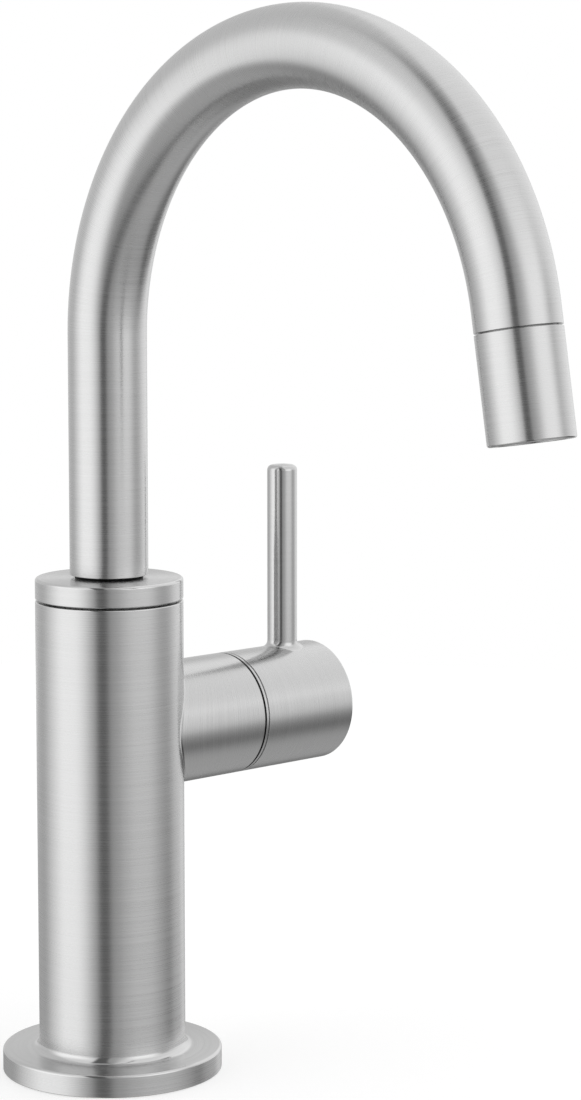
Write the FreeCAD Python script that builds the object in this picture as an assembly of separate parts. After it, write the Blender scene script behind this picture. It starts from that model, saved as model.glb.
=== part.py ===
import FreeCAD, Part
import math
import os
from FreeCAD import Vector

# Beverage faucet for one hole in a sink deck, in millimetres with +Z up.
# The origin lies on the column's axis at the deck, the spout points to -Y and the handle to +X.

# Clearances between pieces
fit_clearance = 0.05        # radial, pieces that stay put on each other
thread_clearance = 0.1      # radial, male thread to female thread
running_clearance = 0.05    # radial, a shaft or seal that turns in a bore
face_clearance = 0.1        # along the axis, faces that turn on each other

# Column, deck flange and base gasket
flange_diameter = 54.0
flange_thickness = 5.5
flange_edge_radius = 0.7
foot_fillet_radius = 2.0
column_diameter = 36.0
column_wall = 2.5
column_edge_radius = 0.3
column_above_handle = 32.6
gasket_thickness = 1.5
gasket_rim = 2.0            # flange metal left outside the gasket
gasket_shank_gap = 1.3

# Top cap and the black bush that the spout turns in
cap_gap = 0.45              # dark parting line between column and cap
cap_height = 5.15
cap_edge_radius = 0.7
cap_under_radius = 0.3
cap_roof = 4.7
cap_socket_wall = 3.8
cap_socket_depth = 9.6
cap_skirt_wall = 2.6
web_thickness = 3.0
bush_flange_diameter = 16.6
bush_flange_thickness = 0.6
bush_wall = 1.0
spout_lift = 0.15           # running gap between bush and tube end

# Gooseneck spout
spout_diameter = 19.05
spout_wall = 1.2
spout_straight = 58.05
spout_bend_radius = 67.4
spout_bend_angle = 170.0
spout_outlet_straight = 4.3
spout_edge_radius = 0.2

# Spout stem, its seals, clip and washer
stem_diameter = 13.0
stem_bore = 8.0
stem_plug_length = 16.0
stem_floor_gap = 1.0
socket_wall = 2.1           # metal between valve pocket and spout socket
neck_height = 6.0
neck_skirt_gap = 1.0
oring_section = 1.8
oring_groove_play = 0.3
oring_pitch = 4.6
oring_end_margin = 2.0
washer_thickness = 0.7
washer_skirt_gap = 0.6
clip_thickness = 1.0
clip_groove_depth = 0.8
clip_mouth = 7.0

# Outlet sleeve and aerator
outlet_gap = 0.3            # dark joint line between tube and sleeve
sleeve_length = 23.7
sleeve_edge_radius = 0.5
sleeve_lip_thickness = 1.6
sleeve_lip_width = 0.9
nipple_thread_length = 8.5
nipple_wall = 2.2
aerator_gasket_thickness = 1.2
aerator_gasket_width = 2.4
aerator_wall = 1.0
aerator_plate = 1.5
aerator_jet_diameter = 1.4
aerator_jet_count = 8
screen_thickness = 1.6
screen_cell = 1.7
screen_rib = 0.5
screen_cells_across = 5
screen_ledge = 0.6

# Handle stub, hub and lever
handle_axis_height = 84.0
stub_length = 19.65
stub_wall = 2.9
stub_edge_radius = 0.15
stub_fillet_radius = 0.6
stub_shoulder = 2.0         # from the column's face to the cartridge seat
handle_gap = 0.45           # dark joint line between stub and hub
hub_length = 30.1
hub_front_radius = 0.15
hub_end_radius = 0.8
hub_line_setback = 0.75     # from the hub's front to the fine line turned in it
hub_line_width = 0.25
hub_line_depth = 0.5
hub_line_radius = 0.1
glide_recess = 0.05         # how far the black glide ring lies under the stub's surface
glide_wall = 0.9
glide_spigot_length = 3.0
hub_cavity_depth = 5.0
hub_cavity_wall = 3.0
lever_setback = 10.9        # from the hub's end to the lever's axis
lever_diameter = 7.6
lever_height = 46.3         # above the crown of the hub
lever_top_radius = 1.3
lever_fillet_radius = 1.6
lever_foot_trim = 0.2       # cuts off the fillet's feather edge
lever_seat_depth = 1.75
lever_tenon_diameter = 5.0
lever_tenon_length = 8.0
tenon_chamfer = 0.4
set_screw_diameter = 4.0
set_screw_length = 6.0
set_screw_key = 2.0
set_screw_key_depth = 2.0
set_screw_setback = 4.5

# Ceramic disc cartridge
cartridge_diameter = 19.6
cartridge_flange_width = 2.4
cartridge_flange_thickness = 2.5
cartridge_wall = 1.8
pocket_floor = 3.5          # from the column's axis to the floor of the valve pocket
seat_seal_thickness = 1.2
fixed_disc_thickness = 3.0
moving_disc_thickness = 2.5
disc_bore_gap = 0.3
disc_film = 0.05
disc_lug_width = 3.0
disc_slot_depth = 1.2
port_diameter = 4.0
port_offset = 4.5
gallery_offset = 1.4
driver_thickness = 2.15
tongue_width = 2.9
tongue_height = 0.95
shaft_diameter = 10.0
shaft_groove_depth = 1.0
barrel_groove_depth = 0.8
barrel_groove_start = 4.4   # from the inner end of the cartridge
shaft_groove_start = 3.6    # from the thrust face
shaft_overhang = 1.5
spindle_diameter = 8.0
spindle_flat_depth = 0.6
spindle_engagement = 9.0
spindle_tip_radius = 0.5
bonnet_thread_length = 7.0
bonnet_bore = 12.0
bonnet_hex = 19.0
bonnet_hex_height = 4.5

# Waterway inside the column
block_below_axis = 22.0
tube_socket_depth = 10.0
tube_groove_start = 3.0
tube_groove_depth = 1.5

# Shank, inlet and mounting hardware under the deck
shank_diameter = 25.4
shank_length = 56.0
shank_head_height = 7.5
shank_bore = 16.0
shank_lip = 6.0
shank_lip_gap = 0.3
shank_chamfer = 1.0
shank_plain_length = 32.0
shank_relief_width = 2.0
shank_relief_depth = 0.7
inlet_tube_diameter = 9.525
inlet_tube_wall = 1.0
inlet_tube_drop = 78.0      # from the deck to the tube's lower end
fitting_hex = 17.5
fitting_hex_height = 7.0
fitting_thread_diameter = 14.29
fitting_thread_length = 15.0
fitting_bore = 7.0
fitting_chamfer = 0.8
nut_drop = 36.0             # from the deck to the upper washer's face
nut_hex = 34.0
nut_height = 9.0
nut_chamfer = 1.5
steel_washer_diameter = 44.0
steel_washer_thickness = 1.5
rubber_washer_diameter = 40.0
rubber_washer_thickness = 2.5
washer_bore_gap = 0.5

# Heights on the column's axis
flange_radius = flange_diameter / 2
column_radius = column_diameter / 2
column_bore = column_radius - column_wall
column_top = handle_axis_height + column_above_handle
web_top = column_top - cap_socket_depth
web_bottom = web_top - web_thickness
cap_bottom = column_top + cap_gap
cap_top = cap_bottom + cap_height
cap_roof_bottom = cap_top - cap_roof
tube_bottom = cap_top + bush_flange_thickness + spout_lift
bend_height = tube_bottom + spout_straight

# Radii round the column's axis
stem_radius = stem_diameter / 2
socket_radius = stem_radius + running_clearance
bush_radius = stem_radius + running_clearance + bush_wall
cap_socket_radius = column_radius - cap_socket_wall
skirt_radius = cap_socket_radius - thread_clearance
skirt_bore = skirt_radius - cap_skirt_wall
neck_radius = skirt_bore - neck_skirt_gap
clip_radius = (stem_radius + skirt_bore) / 2
block_radius = column_bore - fit_clearance
gasket_radius = flange_radius - gasket_rim
shank_radius = shank_diameter / 2
tube_radius = spout_diameter / 2
tube_bore = tube_radius - spout_wall
inlet_radius = inlet_tube_diameter / 2

# Stations on the handle's axis, from the column's axis outwards
cartridge_radius = cartridge_diameter / 2
pocket_radius = cartridge_radius + fit_clearance
flange_seat_radius = cartridge_radius + cartridge_flange_width
stub_bore = flange_seat_radius + thread_clearance
stub_radius = stub_bore + stub_wall
disc_bore = cartridge_radius - cartridge_wall
cartridge_start = pocket_floor + face_clearance
fixed_disc_start = pocket_floor + seat_seal_thickness
fixed_disc_end = fixed_disc_start + fixed_disc_thickness
moving_disc_start = fixed_disc_end + disc_film
moving_disc_end = moving_disc_start + moving_disc_thickness
driver_end = moving_disc_end + driver_thickness
thrust_face = driver_end + face_clearance
cartridge_seat = column_radius + stub_shoulder
cartridge_end = cartridge_seat + cartridge_flange_thickness
shaft_end = cartridge_end + shaft_overhang
stub_end = column_radius + stub_length
hub_start = stub_end + handle_gap
hub_end = hub_start + hub_length
hub_floor = hub_start + hub_cavity_depth
spindle_end = hub_floor + spindle_engagement
lever_station = hub_end - lever_setback
set_screw_station = hub_floor + set_screw_setback
shaft_radius = shaft_diameter / 2
spindle_radius = spindle_diameter / 2
port_radius = port_diameter / 2

# Heights that the valve sets
socket_floor = handle_axis_height + pocket_radius + socket_wall
stem_bottom = socket_floor + stem_floor_gap
neck_top = web_top + neck_height
block_bottom = handle_axis_height - block_below_axis
tube_socket_floor = block_bottom + tube_socket_depth
hub_crown = handle_axis_height + stub_radius
lever_top = hub_crown + lever_height
lever_radius = lever_diameter / 2
lever_foot_radius = lever_radius + lever_fillet_radius - lever_foot_trim
lever_seat = hub_crown - lever_seat_depth
spindle_flat = handle_axis_height - spindle_radius + spindle_flat_depth

# Stations on the outlet's axis, from the tube's end downstream
sleeve_start = outlet_gap
sleeve_end = sleeve_start + sleeve_length
nipple_radius = tube_bore - fit_clearance
sleeve_bore = nipple_radius + thread_clearance
sleeve_floor = sleeve_end - sleeve_lip_thickness
aerator_start = nipple_thread_length + aerator_gasket_thickness
aerator_radius = sleeve_bore - thread_clearance
aerator_bore = aerator_radius - aerator_wall

axis_z = Vector(0, 0, 1)
axis_x = Vector(1, 0, 0)
origin = Vector(0, 0, 0)
same_place = 0.01           # two curves this near count as one
overrun = 1.0               # how far a cutting solid runs past the face that it opens


def rounded_corner(before, corner, after, radius):
    """Start, middle and end of the arc that rounds a corner, tangent to both of its sides."""
    to_before = (before - corner).normalize()
    to_after = (after - corner).normalize()
    half_angle = to_before.getAngle(to_after) / 2
    reach = radius / math.tan(half_angle)
    bisector = (to_before + to_after).normalize()
    middle = corner + bisector * (radius / math.sin(half_angle) - radius)
    return corner + to_before * reach, middle, corner + to_after * reach


def turned(*corners):
    """Solid turned about Z from (radius, height) corners; a third number rounds that corner."""
    points = [Vector(corner[0], 0, corner[1]) for corner in corners]
    stops = []
    for index, corner in enumerate(corners):
        if len(corner) == 2:
            stops.append((points[index],))
        else:
            after = points[(index + 1) % len(points)]
            stops.append(rounded_corner(points[index - 1], points[index], after, corner[2]))
    edges = []
    for index, stop in enumerate(stops):
        if len(stop) == 3:
            edges.append(Part.Arc(*stop).toShape())
        next_stop = stops[(index + 1) % len(stops)]
        edges.append(Part.makeLine(stop[-1], next_stop[0]))
    return Part.Face(Part.Wire(edges)).revolve(origin, axis_z, 360)


def rod(radius, start, end):
    """Round bar about Z between two heights."""
    return Part.makeCylinder(radius, end - start, Vector(0, 0, start))


def ring(inner, outer, start, end):
    """Flat ring about Z between two heights."""
    return turned((inner, start), (outer, start), (outer, end), (inner, end))


def oring(inner, outer, middle):
    """Seal of round section about Z, centred on a height."""
    section_radius = (outer - inner) / 2
    return Part.makeTorus(inner + section_radius, section_radius, Vector(0, 0, middle))


def hexagon(across_flats, start, end):
    """Six-sided bar about Z between two heights."""
    reach = across_flats / math.sqrt(3)
    corners = []
    for side in range(7):
        angle = math.radians(60 * side)
        corners.append(Vector(reach * math.cos(angle), reach * math.sin(angle), start))
    return Part.Face(Part.makePolygon(corners)).extrude(axis_z * (end - start))


def block(width, depth, start, end):
    """Square bar about Z between two heights, width along X and depth along Y."""
    return Part.makeBox(width, depth, end - start, Vector(-width / 2, -depth / 2, start))


def on_handle_axis(shape):
    """Lay a piece made about Z along the handle's axis, height becoming the distance from the column."""
    return shape.rotated(origin, Vector(0, 1, 0), 90).translated(Vector(0, 0, handle_axis_height))


def on_outlet_axis(shape):
    """Lay a piece made about Z along the outlet's axis, height becoming the distance downstream."""
    return shape.rotated(origin, axis_x, spout_bend_angle).translated(outlet_point())


def outlet_direction():
    """Way the water leaves: straight up, turned through the bend towards -Y."""
    angle = math.radians(spout_bend_angle)
    return Vector(0, -math.sin(angle), math.cos(angle))


def outlet_point():
    """Centre of the tube's outlet end."""
    angle = math.radians(spout_bend_angle)
    y = spout_bend_radius * (math.cos(angle) - 1)
    z = bend_height + spout_bend_radius * math.sin(angle)
    return Vector(0, y, z) + outlet_direction() * spout_outlet_straight


def from_column(point):
    """Distance of a point from the column's round face."""
    return abs(math.hypot(point.x, point.y) - column_radius)


def from_stub(point):
    """Distance of a point from the round face of the stub and the hub."""
    return abs(math.hypot(point.y, point.z - handle_axis_height) - stub_radius)


def from_lever(point):
    """Distance of a point from the lever's round face."""
    return abs(math.hypot(point.x - lever_station, point.y) - lever_radius)


def root_edges(shape, from_first, from_second):
    """Edges where one round piece leaves another, which lie on both of their faces."""
    roots = []
    for edge in shape.Edges:
        middle = edge.valueAt((edge.FirstParameter + edge.LastParameter) / 2)
        if max(from_first(middle), from_second(middle)) < same_place:
            roots.append(edge)
    return roots


def column_shell():
    """Column, flange and stub in one hollow piece, with a web that carries the waterway and the cap."""
    outside = turned(
        (0, 0),
        (flange_radius, 0),
        (flange_radius, flange_thickness, flange_edge_radius),
        (column_radius, flange_thickness, foot_fillet_radius),
        (column_radius, column_top, column_edge_radius),
        (0, column_top),
    )
    stub = turned((0, 0), (stub_radius, 0), (stub_radius, stub_end, stub_edge_radius), (0, stub_end))
    outside = outside.fuse(on_handle_axis(stub))
    outside = outside.makeFillet(stub_fillet_radius, root_edges(outside, from_column, from_stub))
    inside = turned(
        (0, -overrun),
        (gasket_radius, -overrun),
        (gasket_radius, gasket_thickness),
        (column_bore, gasket_thickness),
        (column_bore, web_bottom),
        (neck_radius + fit_clearance, web_bottom),
        (neck_radius + fit_clearance, web_top),
        (cap_socket_radius, web_top),
        (cap_socket_radius, column_top + overrun),
        (0, column_top + overrun),
    )
    passage = rod(pocket_radius, 0, stub_end)
    mouth = rod(stub_bore, cartridge_seat, stub_end + overrun)
    return outside.cut([inside, on_handle_axis(passage), on_handle_axis(mouth)])


def base_gasket():
    """Rubber ring let into the underside of the flange, flush with it."""
    return ring(shank_radius + gasket_shank_gap, gasket_radius - fit_clearance, 0, gasket_thickness)


def top_cap():
    """Cap with a threaded skirt that stands on the web and a hole for the bush."""
    return turned(
        (skirt_bore, web_top),
        (skirt_radius, web_top),
        (skirt_radius, cap_bottom),
        (column_radius, cap_bottom, cap_under_radius),
        (column_radius, cap_top, cap_edge_radius),
        (bush_radius + fit_clearance, cap_top),
        (bush_radius + fit_clearance, cap_roof_bottom),
        (skirt_bore, cap_roof_bottom),
    )


def spout_bush():
    """Flanged bush that carries the spout's stem and keeps the tube off the cap."""
    bush_top = cap_top + bush_flange_thickness
    return turned(
        (socket_radius, cap_roof_bottom),
        (bush_radius, cap_roof_bottom),
        (bush_radius, cap_top),
        (bush_flange_diameter / 2, cap_top),
        (bush_flange_diameter / 2, bush_top),
        (socket_radius, bush_top),
    )


def waterway_body():
    """Brass block with the inlet socket, the valve pocket and the spout socket, and passages between them."""
    solid = turned(
        (0, block_bottom),
        (block_radius, block_bottom),
        (block_radius, web_bottom),
        (neck_radius, web_bottom),
        (neck_radius, neck_top),
        (0, neck_top),
    )
    tube_socket_radius = inlet_radius + fit_clearance
    groove_start = block_bottom + tube_groove_start
    groove_end = groove_start + oring_section + oring_groove_play
    cuts = [
        rod(socket_radius, socket_floor, neck_top + overrun),
        rod(tube_socket_radius, block_bottom - overrun, tube_socket_floor),
        rod(tube_socket_radius + tube_groove_depth, groove_start, groove_end),
        on_handle_axis(rod(pocket_radius, pocket_floor, column_diameter)),
    ]
    for side, far_end in ((-1, tube_socket_floor), (1, socket_floor)):
        port_height = handle_axis_height + side * port_offset
        port_start = Vector(-gallery_offset, 0, port_height)
        port_length = gallery_offset + pocket_floor + overrun
        gallery_length = abs(far_end - port_height) + overrun
        cuts.append(Part.makeCylinder(port_radius, port_length, port_start, axis_x))
        cuts.append(Part.makeCylinder(port_radius, gallery_length, port_start, axis_z * side))
        cuts.append(Part.makeSphere(port_radius, port_start))
    return solid.cut(cuts)


def shank():
    """Threaded shank whose head screws into the column; its bore carries the inlet tube."""
    head_top = gasket_thickness + shank_head_height
    relief_radius = shank_radius - shank_relief_depth
    relief_bottom = -shank_plain_length - shank_relief_width
    lip_top = shank_lip - shank_length
    solid = turned(
        (inlet_radius + shank_lip_gap, -shank_length),
        (shank_radius - shank_chamfer, -shank_length),
        (shank_radius, shank_chamfer - shank_length),
        (shank_radius, relief_bottom),
        (relief_radius, relief_bottom),
        (relief_radius, -shank_plain_length),
        (shank_radius, -shank_plain_length),
        (shank_radius, gasket_thickness),
        (column_bore - thread_clearance, gasket_thickness),
        (column_bore - thread_clearance, head_top),
        (shank_bore / 2, head_top),
        (shank_bore / 2, lip_top),
        (inlet_radius + shank_lip_gap, lip_top),
    )
    return solid


def inlet_tube():
    """Copper tube from the waterway down through the shank."""
    return ring(inlet_radius - inlet_tube_wall, inlet_radius, -inlet_tube_drop, tube_socket_floor)


def inlet_tube_oring():
    """Seal round the inlet tube in the waterway's groove."""
    middle = block_bottom + tube_groove_start + (oring_section + oring_groove_play) / 2
    return oring(inlet_radius, inlet_radius + fit_clearance + tube_groove_depth, middle)


def inlet_fitting():
    """Male compression fitting on the tube's lower end, with a hexagon to hold it by."""
    thread_radius = fitting_thread_diameter / 2
    hex_top = fitting_hex_height - inlet_tube_drop
    thread_end = -inlet_tube_drop - fitting_thread_length
    thread = turned(
        (0, thread_end),
        (thread_radius - fitting_chamfer, thread_end),
        (thread_radius, thread_end + fitting_chamfer),
        (thread_radius, -inlet_tube_drop),
        (0, -inlet_tube_drop),
    )
    body = thread.fuse(hexagon(fitting_hex, -inlet_tube_drop, hex_top))
    socket = rod(inlet_radius, -inlet_tube_drop, hex_top + overrun)
    bore = rod(fitting_bore / 2, thread_end - overrun, hex_top)
    return body.cut([socket, bore]).removeSplitter()


def cartridge_housing():
    """Barrel that holds the discs and the stem, with a flange that seats in the stub."""
    groove_start = cartridge_start + barrel_groove_start
    groove_end = groove_start + oring_section
    groove_radius = cartridge_radius - barrel_groove_depth
    shaft_bore = shaft_radius + running_clearance
    barrel = turned(
        (disc_bore, cartridge_start),
        (cartridge_radius, cartridge_start),
        (cartridge_radius, groove_start),
        (groove_radius, groove_start),
        (groove_radius, groove_end),
        (cartridge_radius, groove_end),
        (cartridge_radius, cartridge_seat),
        (flange_seat_radius, cartridge_seat),
        (flange_seat_radius, cartridge_end),
        (shaft_bore, cartridge_end),
        (shaft_bore, thrust_face),
        (disc_bore, thrust_face),
    )
    slot_width = disc_lug_width + 2 * fit_clearance
    slots = block(slot_width, cartridge_diameter + overrun, cartridge_start - overrun, fixed_disc_end)
    return on_handle_axis(barrel.cut(slots))


def cartridge_oring():
    """Seal between the cartridge's barrel and the valve pocket."""
    middle = cartridge_start + barrel_groove_start + oring_section / 2
    return on_handle_axis(oring(cartridge_radius - barrel_groove_depth, pocket_radius, middle))


def with_ports(disc, start, end):
    """Cut the inlet and outlet ports through a disc of the valve."""
    cuts = []
    for side in (-1, 1):
        port = rod(port_radius, start - overrun, end + overrun)
        cuts.append(port.translated(Vector(side * port_offset, 0, 0)))
    return on_handle_axis(disc.cut(cuts))


def seat_seal():
    """Rubber seal between the fixed disc and the floor of the valve pocket."""
    return with_ports(rod(disc_bore - fit_clearance, pocket_floor, fixed_disc_start), pocket_floor, fixed_disc_start)


def fixed_disc():
    """Ceramic disc with two ports, kept from turning by lugs in the housing's slots."""
    disc = rod(disc_bore - fit_clearance, fixed_disc_start, fixed_disc_end)
    lugs = block(disc_lug_width, cartridge_diameter, fixed_disc_start, fixed_disc_end)
    lugs = lugs.common(rod(cartridge_radius, fixed_disc_start, fixed_disc_end))
    return with_ports(disc.fuse(lugs).removeSplitter(), fixed_disc_start, fixed_disc_end)


def moving_disc():
    """Ceramic disc with a blind slot that joins the two ports once it has turned a quarter."""
    disc_radius = disc_bore - disc_bore_gap
    disc = rod(disc_radius, moving_disc_start, moving_disc_end)
    slot_end = moving_disc_start + disc_slot_depth
    slot = block(port_diameter, 2 * port_offset, moving_disc_start - overrun, slot_end)
    cuts = [slot]
    for side in (-1, 1):
        slot_tip = rod(port_radius, moving_disc_start - overrun, slot_end)
        cuts.append(slot_tip.translated(Vector(0, side * port_offset, 0)))
    groove_width = tongue_width + 2 * fit_clearance
    groove_floor = moving_disc_end - tongue_height - fit_clearance
    cuts.append(block(2 * disc_radius + overrun, groove_width, groove_floor, moving_disc_end + overrun))
    return on_handle_axis(disc.cut(cuts))


def valve_stem():
    """Stem with a tongue for the moving disc, a sealed shaft and a flatted spindle for the hub."""
    driver_radius = disc_bore - disc_bore_gap
    groove_start = thrust_face + shaft_groove_start
    groove_end = groove_start + oring_section
    groove_radius = shaft_radius - shaft_groove_depth
    stem = turned(
        (0, moving_disc_end),
        (driver_radius, moving_disc_end),
        (driver_radius, driver_end),
        (shaft_radius, driver_end),
        (shaft_radius, groove_start),
        (groove_radius, groove_start),
        (groove_radius, groove_end),
        (shaft_radius, groove_end),
        (shaft_radius, shaft_end),
        (spindle_radius, shaft_end),
        (spindle_radius, spindle_end, spindle_tip_radius),
        (0, spindle_end),
    )
    tongue = block(2 * driver_radius, tongue_width, moving_disc_end - tongue_height, driver_end)
    tongue = tongue.common(rod(driver_radius, moving_disc_start, driver_end))
    flat = block(spindle_diameter, spindle_diameter, hub_floor, spindle_end + overrun)
    flat = flat.translated(Vector(spindle_diameter - spindle_flat_depth, 0, 0))
    return on_handle_axis(stem.fuse(tongue).cut(flat).removeSplitter())


def stem_seal():
    """Seal in the groove of the stem's shaft."""
    middle = thrust_face + shaft_groove_start + oring_section / 2
    return on_handle_axis(oring(shaft_radius - shaft_groove_depth, shaft_radius, middle))


def bonnet_nut():
    """Nut inside the stub that holds the cartridge on its seat."""
    thread_end = cartridge_end + bonnet_thread_length
    body = rod(flange_seat_radius, cartridge_end, thread_end)
    body = body.fuse(hexagon(bonnet_hex, thread_end, thread_end + bonnet_hex_height))
    hole = rod(bonnet_bore / 2, cartridge_end - overrun, thread_end + bonnet_hex_height + overrun)
    return on_handle_axis(body.cut(hole).removeSplitter())


def glide_ring():
    """Black ring on the stub's mouth that the hub glides past; it fills the joint between them."""
    spigot_radius = stub_bore - fit_clearance
    spigot_bore = spigot_radius - glide_wall
    face = hub_start - face_clearance
    return on_handle_axis(turned(
        (spigot_bore, stub_end - glide_spigot_length),
        (spigot_radius, stub_end - glide_spigot_length),
        (spigot_radius, stub_end),
        (stub_radius - glide_recess, stub_end),
        (stub_radius - glide_recess, face),
        (spigot_bore, face),
    ))


def handle_hub():
    """Hub on the stem's spindle, with a seat for the lever and a set screw underneath."""
    line_start = hub_start + hub_line_setback
    line_end = line_start + hub_line_width
    hub = turned(
        (0, hub_start),
        (stub_radius, hub_start, hub_front_radius),
        (stub_radius, line_start, hub_line_radius),
        (stub_radius - hub_line_depth, line_start),
        (stub_radius - hub_line_depth, line_end),
        (stub_radius, line_end, hub_line_radius),
        (stub_radius, hub_end, hub_end_radius),
        (0, hub_end),
    )
    cavity = rod(stub_radius - hub_cavity_wall, hub_start - overrun, hub_floor)
    socket = rod(spindle_radius + fit_clearance, hub_start, spindle_end + fit_clearance)
    lever_axis = Vector(lever_station, 0, 0)
    seat = rod(lever_foot_radius + fit_clearance, lever_seat, hub_crown + overrun)
    tenon_radius = lever_tenon_diameter / 2
    tenon_hole = rod(tenon_radius + fit_clearance, lever_seat - lever_tenon_length - fit_clearance, lever_seat)
    screw_hole = rod(set_screw_diameter / 2 + fit_clearance, handle_axis_height - stub_radius, handle_axis_height)
    return on_handle_axis(hub).cut([
        on_handle_axis(cavity),
        on_handle_axis(socket),
        seat.translated(lever_axis),
        tenon_hole.translated(lever_axis),
        screw_hole.translated(Vector(set_screw_station, 0, 0)),
    ])


def handle_lever():
    """Round lever faired into the hub's crown, with a threaded tenon in the hub."""
    tenon_bottom = lever_seat - lever_tenon_length
    tenon_radius = lever_tenon_diameter / 2
    lever_axis = Vector(lever_station, 0, 0)
    rise = turned(
        (0, handle_axis_height),
        (lever_radius, handle_axis_height),
        (lever_radius, lever_top, lever_top_radius),
        (0, lever_top),
    )
    faired = on_handle_axis(rod(stub_radius, hub_start, hub_end)).fuse(rise.translated(lever_axis))
    faired = faired.makeFillet(lever_fillet_radius, root_edges(faired, from_stub, from_lever))
    lever = faired.common(rod(lever_foot_radius, lever_seat, lever_top + overrun).translated(lever_axis))
    tenon = turned(
        (0, tenon_bottom),
        (tenon_radius - tenon_chamfer, tenon_bottom),
        (tenon_radius, tenon_bottom + tenon_chamfer),
        (tenon_radius, lever_seat),
        (0, lever_seat),
    )
    return lever.fuse(tenon.translated(lever_axis)).removeSplitter()


def handle_set_screw():
    """Socket set screw under the hub, tight on the spindle's flat."""
    bottom = spindle_flat - set_screw_length
    screw = rod(set_screw_diameter / 2, bottom, spindle_flat)
    key = hexagon(set_screw_key, bottom - overrun, bottom + set_screw_key_depth)
    return screw.cut(key).translated(Vector(set_screw_station, 0, 0))


def spout_tube():
    """Gooseneck: a straight rise, one long bend and a short straight end."""
    rise = turned(
        (tube_bore, tube_bottom),
        (tube_radius, tube_bottom, spout_edge_radius),
        (tube_radius, bend_height),
        (tube_bore, bend_height),
    )
    outer = Part.makeCircle(tube_radius, Vector(0, 0, bend_height))
    inner = Part.makeCircle(tube_bore, Vector(0, 0, bend_height))
    section = Part.makeFace([Part.Wire(outer), Part.Wire(inner)], "Part::FaceMakerBullseye")
    bend = section.revolve(Vector(0, -spout_bend_radius, bend_height), axis_x, spout_bend_angle)
    end = on_outlet_axis(ring(tube_bore, tube_radius, -spout_outlet_straight, 0))
    return rise.fuse([bend, end])


def oring_heights():
    """Middle heights of the two seals on the spout's stem."""
    first = stem_bottom + oring_end_margin + oring_section / 2
    return [first, first + oring_pitch]


def oring_groove_radius():
    """Floor of the seal grooves on the spout's stem."""
    return stem_radius - oring_section + running_clearance


def washer_top():
    """Upper face of the thrust washer, just under the cap's roof."""
    return cap_roof_bottom - face_clearance


def clip_groove():
    """Lower and upper height of the clip's groove, under the thrust washer."""
    upper = washer_top() - washer_thickness
    return upper - clip_thickness, upper


def spout_stem():
    """Hollow stem: a plug in the tube's end and a neck that turns in the bush and the spout socket."""
    plug_radius = tube_bore - fit_clearance
    clip_bottom, clip_top = clip_groove()
    solid = turned(
        (stem_bore / 2, stem_bottom),
        (stem_radius, stem_bottom),
        (stem_radius, tube_bottom),
        (plug_radius, tube_bottom),
        (plug_radius, tube_bottom + stem_plug_length),
        (stem_bore / 2, tube_bottom + stem_plug_length),
    )
    half_groove = (oring_section + oring_groove_play) / 2
    grooves = [ring(stem_radius - clip_groove_depth, stem_diameter, clip_bottom, clip_top)]
    for height in oring_heights():
        grooves.append(ring(oring_groove_radius(), stem_diameter, height - half_groove, height + half_groove))
    return solid.cut(grooves)


def spout_orings():
    """Two seals on the spout's stem."""
    return Part.Compound([oring(oring_groove_radius(), stem_radius, height) for height in oring_heights()])


def retaining_clip():
    """Open spring clip in the stem's groove that keeps the spout from lifting out."""
    clip_bottom, clip_top = clip_groove()
    clip = ring(stem_radius - clip_groove_depth, clip_radius, clip_bottom, clip_top)
    mouth = block(clip_mouth, clip_radius, clip_bottom - overrun, clip_top + overrun)
    return clip.cut(mouth.translated(Vector(0, clip_radius / 2, 0)))


def thrust_washer():
    """Slippery washer between the clip and the cap's roof."""
    bottom = washer_top() - washer_thickness
    return ring(stem_radius + fit_clearance, skirt_bore - washer_skirt_gap, bottom, washer_top())


def outlet_nipple():
    """Threaded nipple brazed into the straight end of the tube."""
    bore = nipple_radius - nipple_wall
    return on_outlet_axis(ring(bore, nipple_radius, -spout_outlet_straight, nipple_thread_length))


def outlet_sleeve():
    """Sleeve screwed on the nipple, with a lip that carries the aerator."""
    lip_bore = sleeve_bore - sleeve_lip_width
    sleeve = turned(
        (sleeve_bore, sleeve_start),
        (tube_radius, sleeve_start),
        (tube_radius, sleeve_end, sleeve_edge_radius),
        (lip_bore, sleeve_end),
        (lip_bore, sleeve_floor),
        (sleeve_bore, sleeve_floor),
    )
    return on_outlet_axis(sleeve)


def aerator_gasket():
    """Rubber ring between the nipple and the aerator."""
    inner = nipple_radius - aerator_gasket_width
    return on_outlet_axis(ring(inner, nipple_radius, nipple_thread_length, aerator_start))


def aerator_housing():
    """Cup with a ring of jets in its floor, upside down in the sleeve."""
    ledge_bore = aerator_bore - screen_ledge
    screen_top = sleeve_floor - screen_thickness
    cup = turned(
        (0, aerator_start),
        (aerator_radius, aerator_start),
        (aerator_radius, sleeve_floor),
        (aerator_bore, sleeve_floor),
        (aerator_bore, screen_top),
        (ledge_bore, screen_top),
        (ledge_bore, aerator_start + aerator_plate),
        (0, aerator_start + aerator_plate),
    )
    jet_circle = ledge_bore / 2
    jets = []
    for index in range(aerator_jet_count):
        angle = 2 * math.pi * index / aerator_jet_count
        jet = rod(aerator_jet_diameter / 2, aerator_start - overrun, aerator_start + aerator_plate + overrun)
        jets.append(jet.translated(Vector(jet_circle * math.cos(angle), jet_circle * math.sin(angle), 0)))
    return on_outlet_axis(cup.cut(jets))


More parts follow.
